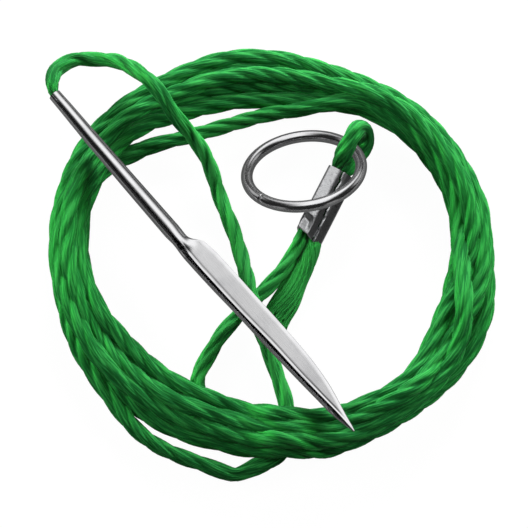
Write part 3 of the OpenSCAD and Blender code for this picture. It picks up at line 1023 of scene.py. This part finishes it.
@dataclass
class CordSet:
    """The cord's coil, strands, leads and eye, and its frayed tail."""

    finish: bpy.types.Material
    sleeve: SleeveFrame
    needle: NeedleFrame
    length: float = 2.09
    diameter: float = 0.004
    exit: Point = (-0.0545, 0.0455, 0.0095)
    spacing: float = 1.25
    # Rings past the needle's lead that go into it
    lead_rings: int = 3
    tail_bend: Point = (-0.2, -6.7, -1.3)
    # The eye's route over the sleeve's top, its spacing, its lay and its thickness above the sleeve
    eye_steps: tuple[Point, ...] = (
        (0.0, 2.6, 2.9), (1.5, 4.9, 4.9), (3.3, 8.3, 5.5), (4.6, 10.4, 4.1), (6.2, 10.6, 1.5),
        (6.3, 8.6, -1.6), (4.5, 5.4, -2.6), (2.6, 2.6, -2.1),
    )
    eye_spacing: float = 0.9
    eye_lay: float = 27.0
    eye_phase: float = 2.4
    eye_swell: float = 0.16
    # Size of a leg across and out of the sleeve, and of a turn across and up in the coil
    leg_size: Pair = (0.64, 0.58)
    press: Pair = (1.2, 0.88)
    # Radii between which the coil's turns are pressed, and the height below which they are
    pressed_radii: Pair = (40.0, 57.5)
    pressed_height: float = 8.5
    # What the strands in the middle add to their painted highlight, and the radius that they lie in
    shine: Pair = (0.7, 40.0)

    def build(self) -> None:
        route = CoilLine(self.sleeve, self.needle)
        line, scale = route.build(self.spacing)
        away = np.hypot(line[:, 0] - route.middle[0], line[:, 1] - route.middle[1])
        sweep = LaidCord(line, scale, self._coil_squeeze(line, away))
        # Painted highlight on the strands that lie in the middle of the coil
        extra, radius = self.shine
        sweep.painted_shading = sweep.painted_shading + extra * close((radius - away) / 4)[:, None]
        first = nearest(line, route.needle_lead_end) + self.lead_rings
        last = nearest(line, route.ring_lead_end)
        needle_lead = sweep.piece("needle_lead_cord", 0, first, (False, True))
        ring_lead = sweep.piece("ring_lead_cord", last, len(line) - 1, (True, False))
        main = sweep.piece("coil_cord", first, last, (True, True))
        eye = self._eye()
        tail, tail_lead = FrayedTail(self.sleeve).build()
        for obj, body, nodes in (
            (main, Body.COIL, ("cord_coil", "strand_to_needle", "strand_to_ring")),
            (needle_lead, None, ("needle_lead",)),
            (ring_lead, None, ("strand_lead",)),
            (eye, Body.SLEEVE, ("cord_eye",)),
            (tail, Body.COIL, ("cord_tail",)),
            (tail_lead, None, ("tail_lead",)),
        ):
            dress(obj, self.finish, "cord", body, *nodes)
            bpy.data.collections[LUSTROUS].objects.link(obj)
            obj.visible_glossy = False
        for obj, body, start, end in (
            (needle_lead, Body.NEEDLE, line[first], np.array(self.needle.mouth)),
            (ring_lead, Body.SLEEVE, line[last], self.sleeve.leg_mouth(1)),
            (tail_lead, Body.SLEEVE, self.sleeve.mouth + self.tail_bend, self.sleeve.leg_mouth(-1)),
        ):
            tuple(start * MM)
            tuple(end * MM)
            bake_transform(obj)
        LOG.info("cord: %.0f mm long", arc_of(line[first : last + 1])[-1])

    def _coil_squeeze(self, line: np.ndarray, away: np.ndarray) -> list[tuple[np.ndarray, np.ndarray]]:
        """How the cord is pressed in the coil and where it enters the sleeve.

        Args:
            line: Its centre line.
            away: How far each point lies from the coil's middle.

        Returns:
            Directions, each with the size that the cord keeps in it.
        """
        near, far = self.pressed_radii
        pressed = close((away - near) / 4) * close((far - away) / 2) * (line[:, 2] < self.pressed_height)
        tangent = unit(np.gradient(line, axis=0))
        level = unit(np.cross((0, 0, 1.0), tangent))
        wide, tall = self.press
        inside = (line - self.sleeve.mouth) @ self.sleeve.along
        at_mouth = np.linalg.norm(line - self.sleeve.leg_mouth(1), axis=1) < 8
        return [
            (level, 1 + (wide - 1) * pressed),
            (np.cross(tangent, level), 1 + (tall - 1) * pressed),
            *self._sleeve_squeeze(np.where(at_mouth, close((inside + 1.8) / 1.8), 0)),
        ]

    def _sleeve_squeeze(self, share: np.ndarray) -> list[tuple[np.ndarray, np.ndarray]]:
        """The sleeve's press on a leg, by the share of it that each point takes."""
        wide, thick = self.leg_size
        return [(self.sleeve.across, 1 - share * (1 - wide)), (self.sleeve.out, 1 - share * (1 - thick))]

    def _eye(self) -> bpy.types.Object:
        """The eye: up the left leg, round the ring and down the right leg, with painted shade on its far side
        and inside the sleeve.
        """
        f = self.sleeve
        points = [f.at(0.8, 1.5, -0.85), f.at(4, 1.5, -0.8), f.at(9, 1.5, -0.55), f.at(17.5, 1.5, -0.55)]
        points += [f.at(19.2, 1.5, -0.1), *(np.array(f.top) + s for s in self.eye_steps)]
        points += [f.at(19.2, -1.5, -0.1)]
        points += [f.at(s, -1.5, -0.55) for s in (17.5, 9, 0.8)]
        line = spline(points, self.eye_spacing)
        inside = (line - f.mouth) @ f.along
        swell = 1 + self.eye_swell * close((inside - 19) / 3)
        squeeze = self._sleeve_squeeze(close((21.5 - inside) / 3.5))
        sweep = LaidCord(line, swell, squeeze, lay=self.eye_lay, first_phase=self.eye_phase)
        # Painted shade on the eye's far side and on the legs inside the sleeve
        shaded = close((sweep.arc - 0.44 * sweep.arc[-1]) / 5) + close((16 - inside) / 3)
        sweep.painted_shading = sweep.painted_shading * (1 - np.minimum(shaded, 1))[:, None]
        return sweep.piece("eye_cord", 0, len(line) - 1, (False, False))


# The needle


@dataclass
class Needle:
    """The hollow needle: one sheet, rolled into a shank and folded into a blade."""

    finish: bpy.types.Material
    at: NeedleFrame
    sheet: float = 0.45
    faces: tuple[int, int] = (200, 50)
    # Length over which the sheet thins to the tip, and how thin it gets there
    thinned: Pair = (9.0, 0.12)
    # Middle and half width of the shank's seam
    seam: Pair = (math.radians(119), math.radians(4))
    # Where the shank starts to open into the blade, and over what length it does
    shoulder: Pair = (47.0, 8.5)
    # Length of the point, over which the fold and the rim get smaller
    point: float = 10.0
    face_tilt: float = math.tan(math.radians(11))
    depth: float = 3.0
    floor: float = -2.0
    fold: float = 0.30
    rim: float = 1.2
    rim_curl: float = math.radians(122)
    # Shares of the sheet's width at which the face, the fold and the underside end
    parts: Point = (0.40, 0.60, 0.82)
    # The lip beside the upper edge and the groove within it, each as height, distance from the edge and reach
    lip: Point = (0.09, 0.12, 0.16)
    groove: Point = (0.06, 0.35, 0.6)
    # How far the face falls towards the fold, and over what distance
    droop: Pair = (0.16, 1.1)
    # Shares of the sheet's length, and the distance from the mouth at each
    stations: tuple[Pair, ...] = ((0, 0), (0.16, 46), (0.34, 60), (0.54, 84), (0.86, 111), (1.0, 116.2))
    # Distance from the mouth, and the height of the blade's fold there
    crest: tuple[Pair, ...] = ((48, 2.1), (57, 1.75), (70, 1.25), (90, 0.85), (116.2, 0.35))
    # Distance from the mouth, and the shank's middle and radius there
    shank: tuple[Point, ...] = (
        (0, -0.2, 1.6), (5, -0.22, 1.7), (15, -0.4, 1.85), (30, -0.45, 2.04), (45, -0.48, 2.16),
        (58, -0.5, 2.22),
    )
    # Distance from the mouth, and the blade's left outline, upper edge and fold there
    blade: tuple[tuple[float, float, float, float], ...] = (
        (48, -2.75, -1.1, 1.65), (51, -2.78, -1.1, 1.9), (52.5, -2.8, -1.15, 2.5), (54, -2.78, -1.25, 3.4),
        (57, -2.72, -1.32, 4.05), (64, -2.5, -1.15, 4.5), (75, -1.9, -0.75, 4.75), (86, -1.55, -0.15, 4.95),
        (97, -1.05, 0.18, 4.75), (104, -0.65, 0.52, 3.95), (108, -0.4, 0.72, 3.1), (112, 0.1, 0.86, 2.15),
        (114.5, 0.5, 0.96, 1.6), (116.2, 0.84, 1.0, 1.14),
    )

    def build(self) -> None:
        """Rolls the sheet, thickens it and dresses it."""
        obj = sheet_blank("needle_sheet", *self.faces)
        flat = places(obj)
        x, u = np.interp(flat[:, 0], *np.array(self.stations).T), flat[:, 1]
        (y, z), (blade_y, blade_z) = self._rolled(x, u), self._folded(x, u)
        start, reach = self.shoulder
        share = close((x - start) / reach)
        y, z = y + (blade_y - y) * share, z + (blade_z - z) * share
        reshape(obj, self.at.put(np.stack([x, y, z], 1)))
        group = obj.vertex_groups.new(name="sheet")
        reach, least = self.thinned
        for i, full in enumerate(np.clip((self.at.length - x) / reach, least, 1)):
            group.add([i], float(full), "REPLACE")
        apply_modifier(obj, "SOLIDIFY", thickness=self.sheet * MM, offset=-1.0, vertex_group="sheet")
        smooth_over(obj, 42)
        dress(obj, self.finish, "needle", Body.NEEDLE, "needle")

    def _rolled(self, x: np.ndarray, u: np.ndarray) -> tuple[np.ndarray, np.ndarray]:
        """The shank's outer face.

        Args:
            x: Distances from the mouth.
            u: Shares round the section, from one side of the seam to the other.

        Returns:
            The places across and up.
        """
        at, middle, radius = np.array(self.shank).T
        r, c = np.interp(x, at, radius), np.interp(x, at, middle)
        seam, half = self.seam
        angle = seam - half - u * (FULL_TURN - 2 * half)
        return c + r * np.cos(angle), r * np.sin(angle)

    def _folded(self, x: np.ndarray, u: np.ndarray) -> tuple[np.ndarray, np.ndarray]:
        """The blade's outer face.

        Args:
            x: Distances from the mouth.
            u: Shares round the section, from the upper edge over the fold to the rim.

        Returns:
            The places across and up.
        """
        left, edge, right = smooth_interp(x, np.array(self.blade))
        near = np.clip((self.at.length - x) / self.point, 0.05, 1) ** 0.7
        top = np.interp(x, *np.array(self.crest).T)
        low = np.maximum(self.floor, top - self.depth * near)
        fold, width = self.fold * near, right - self.fold * near - edge
        face_end, fold_end, under_end = self.parts
        flat = np.clip(u / face_end, 0, 1)
        turn = math.pi / 2 - np.clip((u - face_end) / (fold_end - face_end), 0, 1) * math.pi
        under = np.clip((u - fold_end) / (under_end - fold_end), 0, 1)
        curl = np.clip((u - under_end) / (1 - under_end), 0, 1) * self.rim_curl
        y = np.where(u <= face_end, edge + width * flat, right - fold + fold * np.cos(turn))
        face = top - self.face_tilt * np.minimum(1, near * 1.2) * width * (1 - flat)
        face = face + near * self._relief(y - edge, right - y)
        z = np.where(u <= face_end, face, low + (top - low) / 2 * (1 + np.sin(turn)))
        rim = self.rim * np.clip(near * 1.05, 0, 1)
        y = np.where(u > fold_end, right - fold + (left + rim - right + fold) * under - rim * np.sin(curl), y)
        z = np.where(u > fold_end, low + rim * (1 - np.cos(curl)), z)
        return y, z

    def _relief(self, from_edge: np.ndarray, from_fold: np.ndarray) -> np.ndarray:
        """Height of the face's lip, groove and rounded side above its plane."""
        high, place, reach = self.lip
        relief = high * np.exp(-(((from_edge - place) / reach) ** 2))
        deep, reach = self.droop
        relief = relief - deep * np.clip(1 - from_fold / reach, 0, 1) ** 2
        deep, place, reach = self.groove
        return relief - deep * close(1 - (from_edge - place) / reach)


# The ring


@dataclass
class Ring:
    """The wire ring, bent round until its cut ends meet."""

    finish: bpy.types.Material
    middle: Point = (8.912, 20.303, 9.185)
    radius: float = 14.45
    wire: float = 1.48
    tilt: float = math.radians(31.8)
    lean: float = math.radians(103.3)
    joint: float = math.radians(122)
    gap: float = math.radians(0.8)
    bevel: float = 0.16
    sides: int = 28
    steps: int = 176

    def build(self) -> None:
        """Spins the wire's round end, closes it and dresses it."""
        bpy.ops.object.select_all(action="DESELECT")
        bpy.ops.mesh.primitive_circle_add(
            vertices=self.sides, radius=self.wire * MM, fill_type="NGON",
            location=(self.radius * MM, 0, 0), rotation=(math.pi / 2, 0, 0),
        )
        obj = bpy.context.object
        obj.name = obj.data.name = "wire_ring"
        bpy.ops.object.transform_apply(location=True, rotation=True, scale=True)
        self._bend()
        point_outwards(obj)
        round_edges(obj, self.bevel, 60)
        turn = Matrix.Rotation(self.lean, 4, "Z") @ Matrix.Rotation(self.tilt, 4, "Y")
        turn = turn @ Matrix.Rotation(self.joint + self.gap / 2, 4, "Z")
        obj.data.transform(Matrix.Translation(Vector(self.middle) * MM) @ turn)
        smooth_over(obj, 45)
        dress(obj, self.finish, "ring", Body.RING, "ring")

    def _bend(self) -> None:
        """Spins the active object's disc into the wire, and closes the end that this leaves open."""
        bpy.ops.object.mode_set(mode="EDIT")
        bpy.ops.mesh.select_all(action="SELECT")
        bpy.ops.mesh.spin(
            steps=self.steps, angle=FULL_TURN - self.gap, center=(0, 0, 0), axis=(0, 0, 1), dupli=False,
        )
        bpy.ops.mesh.select_all(action="SELECT")
        bpy.ops.mesh.remove_doubles(threshold=1e-6)
        bpy.ops.mesh.select_all(action="DESELECT")
        bpy.ops.mesh.select_mode(type="EDGE")
        bpy.ops.mesh.select_non_manifold()
        bpy.ops.mesh.fill_holes(sides=self.sides)
        bpy.ops.object.mode_set(mode="OBJECT")


# The sleeve


@dataclass
class Sleeve:
    """The crimped sleeve: rolled sheet pressed into two faces, with a torn seam."""

    finish: bpy.types.Material
    at: SleeveFrame
    sheet: float = 0.55
    faces: tuple[int, int] = (72, 120)
    bevel: float = 0.09
    # Share of a side that a rounded corner takes, and the longest side that counts
    corner: Pair = (0.38, 1.1)
    # How far the mouth's edge slants for each millimetre across, and how far in this reaches
    shear: Pair = (0.35, 6.0)
    # The dent at the mouth: where it ends, its slant, and its depth out of the face and across it
    dent: tuple[float, ...] = (4.9, 0.35, 0.80, 0.30)
    # The shallow dent near the top: where it is along and across, its length, its width and its depth
    shallow: tuple[float, ...] = (12.6, -2.2, 2.6, 1.2, 0.30)
    # The seam's slant across the sleeve, and size, rate and shift of the waves in its torn edges
    slant: float = 0.075
    tears: tuple[Point, ...] = ((0.15, 1.9, 0.6), (0.09, 4.3, 0), (0.05, 9.1, 1))
    # How high the seam's bright crest stands, and how far its other edge lies below
    crest: float = 0.23
    tucked: float = 0.25
    # Corners of its section, across and out of its flat face, from the seam round
    corners: tuple[tuple[float, float], ...] = (
        (0.1, 2.28), (1.45, 2.06), (3.95, 0.5), (3.35, -1.0), (2.2, -2.35), (-2.2, -2.35),
        (-3.4, -1.6), (-3.8, -0.2), (-3.8, 1.5), (-3.35, 2.1), (-0.35, 2.3),
    )

    def build(self) -> None:
        """Rolls the sheet, dents it and dresses it."""
        obj = sheet_blank("crimped_sleeve_sheet", *self.faces)
        flat = places(obj)
        s, u = flat[:, 0] * self.at.length, flat[:, 1] - 0.1 * np.sin(FULL_TURN * flat[:, 1])
        a, o = self._tear(s, u, *self._dent(s, *self._section(u)))
        shear, reach = self.shear
        s = s + shear * (a - 1.6) * close(1 - s / reach)
        f = self.at
        reshape(obj, f.mouth + s[:, None] * f.along + a[:, None] * f.across + o[:, None] * f.out)
        apply_modifier(obj, "SOLIDIFY", thickness=self.sheet * MM, offset=-1.0)
        round_edges(obj, self.bevel, 55)
        smooth_over(obj, 45)
        dress(obj, self.finish, "sleeve", Body.SLEEVE, "crimp_sleeve")

    def _section(self, u: np.ndarray) -> tuple[np.ndarray, np.ndarray]:
        """The section's outer face, its corners rounded, by shares round it."""
        c = np.array(self.corners)
        line = [c[0]]
        share, most = self.corner
        for before, corner, after in zip(c, c[1:], c[2:]):
            back, on = before - corner, after - corner
            cut = share * min(np.linalg.norm(back), np.linalg.norm(on), most)
            p, q = corner + unit(back) * cut, corner + unit(on) * cut
            line += [(1 - t) ** 2 * p + 2 * t * (1 - t) * corner + t * t * q for t in np.linspace(0, 1, 5)]
        line = np.array([*line, c[-1]])
        arc = arc_of(line)
        return np.interp(u * arc[-1], arc, line[:, 0]), np.interp(u * arc[-1], arc, line[:, 1])

    def _dent(self, s: np.ndarray, a: np.ndarray, o: np.ndarray) -> tuple[np.ndarray, np.ndarray]:
        """Presses the die's two dents into the flat face.

        Args:
            s: Distance along the sleeve.
            a: Place across.
            o: Place out of the flat face.

        Returns:
            The changed places across and out.
        """
        end, slant, deep, aside = self.dent
        start = end + slant * (a - 2.6)
        fall = close((start - s) / 1.9) * np.clip((s + 0.3) / (start - 1.6), 0, 1)
        fall = close((a - 1.2) / 1.2) * (o > 0.2) * fall
        a, o = a - aside * fall, o - deep * fall
        along, across, long, wide, deep = self.shallow
        second = np.exp(-(((s - along) / long) ** 2)) * np.exp(-(((a - across) / wide) ** 2)) * (o > 0)
        return a, o - deep * second

    def _tear(
        self, s: np.ndarray, u: np.ndarray, a: np.ndarray, o: np.ndarray,
    ) -> tuple[np.ndarray, np.ndarray]:
        """Tears the seam's two edges and raises a crest beside it.

        Args:
            s: Distance along the sleeve.
            u: Share round it.
            a: Place across.
            o: Place out of the flat face.

        Returns:
            The changed places across and out.
        """
        jag = sum(size * np.sin(s * rate + shift) for size, rate, shift in self.tears)
        slant = self.slant * (s - 9)
        first, last = close((0.06 - u) / 0.06), close((u - 0.95) / 0.05)
        a = a + (slant + jag * 1.1 - 0.14) * first + (slant + jag * 0.6 - 0.08 * np.sin(s * 1.3)) * last
        crest = np.clip((u - 0.965) / 0.02, 0, 1) - np.clip((u - 0.985) / 0.015, 0, 1)
        return a, o + crest * (self.crest + 0.04 * np.sin(s * 1.7 + 1.3)) - first * self.tucked


# The studio


@dataclass
class Studio:
    """White floor, soft lamps, a tent that metal reflects, and the camera."""

    aim: Point = (-1.1, -2.65, 4.0)
    distance: float = 900.0
    elevation: float = math.radians(70)
    half_view: float = 66.0
    half_sensor: float = 18.0
    # Name, place and power of each lamp, and of those that only the cord's fibres reflect
    lamps: tuple[tuple[str, Point, float], ...] = (
        ("key", (0.10, 0.97, 0.20), 25.0),
        ("side_left", (-0.87, 0.26, 0.36), 5.5),
        ("side_right", (0.88, 0.26, 0.36), 5.7),
    )
    shines: tuple[tuple[str, Point, float], ...] = (
        ("shine_left", (-0.80, 0.28, 0.50), 25.0),
        ("shine_right", (0.80, 0.28, 0.50), 12.0),
    )
    lamp_size: float = 0.4
    shine_size: float = 0.5
    shine_colour: Point = (0.35, 1.0, 0.5)
    ambient: float = 0.045
    table_white: float = 0.85
    table_size: float = 8.0
    tent_radius: float = 2.5
    # Light of the tent's front panel, of its two parts at each side, and between the panels
    front_panel: float = 1.12
    side_panels: Pair = (0.45, 0.25)
    dim: float = 0.02

    def build(self) -> None:
        """Sets up everything round the object."""
        self.fibres = bpy.data.collections.new(LUSTROUS)
        self._camera()
        self._floor()
        self._tent()
        for name, place, power in self.lamps:
            self._lamp(name, place, self.lamp_size, power)
        for name, place, power in self.shines:
            self._shine(name, place, power)
        self._world()
        bpy.context.scene.view_settings.view_transform = "Standard"

    def _camera(self) -> None:
        """The camera of the photograph."""
        data = bpy.data.cameras.new("camera")
        data.sensor_width = 2 * self.half_sensor
        data.lens = self.half_sensor / (self.half_view / self.distance)
        data.clip_start, data.clip_end = 0.01, 20
        cam = place_new("camera", data)
        back = Vector((0, -math.cos(self.elevation), math.sin(self.elevation)))
        cam.location = (Vector(self.aim) + back * self.distance) * MM
        cam.rotation_mode = "QUATERNION"
        cam.rotation_quaternion = (-back).to_track_quat("-Z", "Y")
        bpy.context.scene.camera = cam

    def _lamp(self, name: str, place: Point, size: float, power: float) -> bpy.types.Object:
        """Adds a square soft lamp that shines at the object.

        Args:
            name: Its name.
            place: Where it stands, in metres.
            size: Its side.
            power: Its power in watts.

        Returns:
            The lamp, which mirrors don't show.
        """
        data = bpy.data.lights.new(name, "AREA")
        data.size, data.energy = size, power
        obj = place_new(name, data)
        obj.location = place
        obj.rotation_mode = "QUATERNION"
        obj.rotation_quaternion = Vector(place).to_track_quat("Z", "Y")
        obj.visible_glossy = False
        return obj

    def _shine(self, name: str, place: Point, power: float) -> None:
        """Adds a lamp that only the cord's lustrous fibres reflect."""
        obj = self._lamp(name, place, self.shine_size, power)
        obj.data.color = self.shine_colour
        obj.visible_glossy, obj.visible_diffuse = True, False
        obj.light_linking.receiver_collection = self.fibres

    def _floor(self) -> None:
        """A white table that keeps a soft shadow, and that metal reflects as dark near the object, where its
        glow to mirrors is painted shade.
        """
        bpy.ops.object.select_all(action="DESELECT")
        bpy.ops.mesh.primitive_plane_add(size=self.table_size, location=(0, 0, 0))
        obj = bpy.context.object
        obj.name = "table"
        s = new_material("white_table")
        ray = s.node("ShaderNodeLightPath")
        seen = (s.output(ray, "Is Camera Ray") + s.output(ray, "Is Transmission Ray")).up_to(1.0)
        glossy = s.output(ray, "Is Glossy Ray")
        away = s.node("ShaderNodeVectorMath", {"operation": "LENGTH"}, s.object_point())
        # Painted shade: mirrors see the table's glow dimmer near the object
        strength = seen * 1.04 + glossy * (away.step(0.12, 0.45) * 0.35 + 0.10)
        glow = s.node("ShaderNodeEmission", None, Color=WHITE, Strength=strength)
        matt = s.node("ShaderNodeBsdfDiffuse", None, Color=(*[self.table_white] * 3, 1))
        surface = s.node("ShaderNodeMixShader", None, seen * 0.94 + glossy * 0.9, matt, glow)
        obj.data.materials.append(s.finish(surface))

    def _tent(self) -> None:
        """A tent whose bright and dark panels only reflections see."""
        bpy.ops.object.select_all(action="DESELECT")
        bpy.ops.mesh.primitive_uv_sphere_add(
            segments=48, ring_count=24, radius=self.tent_radius, location=(0, 0, 0),
        )
        obj = bpy.context.object
        obj.name = "reflection_tent"
        s = new_material("tent_panels")
        x, y, z = s.parts(s.node("ShaderNodeVectorMath", {"operation": "NORMALIZE"}, s.object_point()))
        far, near = self.side_panels
        front = x.step(-0.51, -0.11) * x.step(0.52, 0.20) * y.step(-0.20, -0.02) * z.step(0.14, 0.36)
        sides = abs(x).step(0.50, 0.62) * z.step(0.05, 0.15) * z.step(0.55, 0.40)
        sides = sides * (y.step(0.25, 0.45) * far + y.step(-0.42, -0.58) * near)
        glow = front * self.front_panel + sides + self.dim
        obj.data.materials.append(s.finish(s.node("ShaderNodeEmission", None, Color=WHITE, Strength=glow)))
        obj.visible_camera = obj.visible_diffuse = obj.visible_shadow = obj.visible_transmission = False

    def _world(self) -> None:
        """Bright to the camera and in mirrors, and a soft even light for the object."""
        world = bpy.data.worlds.new("studio")
        bpy.context.scene.world = world
        s = Shader(world)
        ray = s.node("ShaderNodeLightPath")
        seen = (s.output(ray, "Is Camera Ray") + s.output(ray, "Is Glossy Ray")).up_to(1.0)
        strength = seen * (1 - self.ambient) + self.ambient
        s.finish(s.node("ShaderNodeBackground", None, Strength=strength))


def main() -> None:
    """Builds the whole picture, piece by piece."""
    logging.basicConfig(level=logging.INFO, format="%(message)s")
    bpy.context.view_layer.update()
    Studio().build()
    LOG.info("studio is set")
    needle_at, sleeve_at = NeedleFrame(), SleeveFrame()
    CordSet(CordFinish().make(), sleeve_at, needle_at).build()
    LOG.info("cord is laid")
    Needle(PlateFinish("needle_plate", Along.NEEDLE).make(), needle_at).build()
    LOG.info("needle is rolled")
    Ring(PlateFinish("ring_plate", Along.NONE).make()).build()
    LOG.info("ring is bent")
    Sleeve(CrimpFinish().make(), sleeve_at).build()
    LOG.info("sleeve is crimped")
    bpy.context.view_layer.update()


if __name__ == "__main__":
    main()
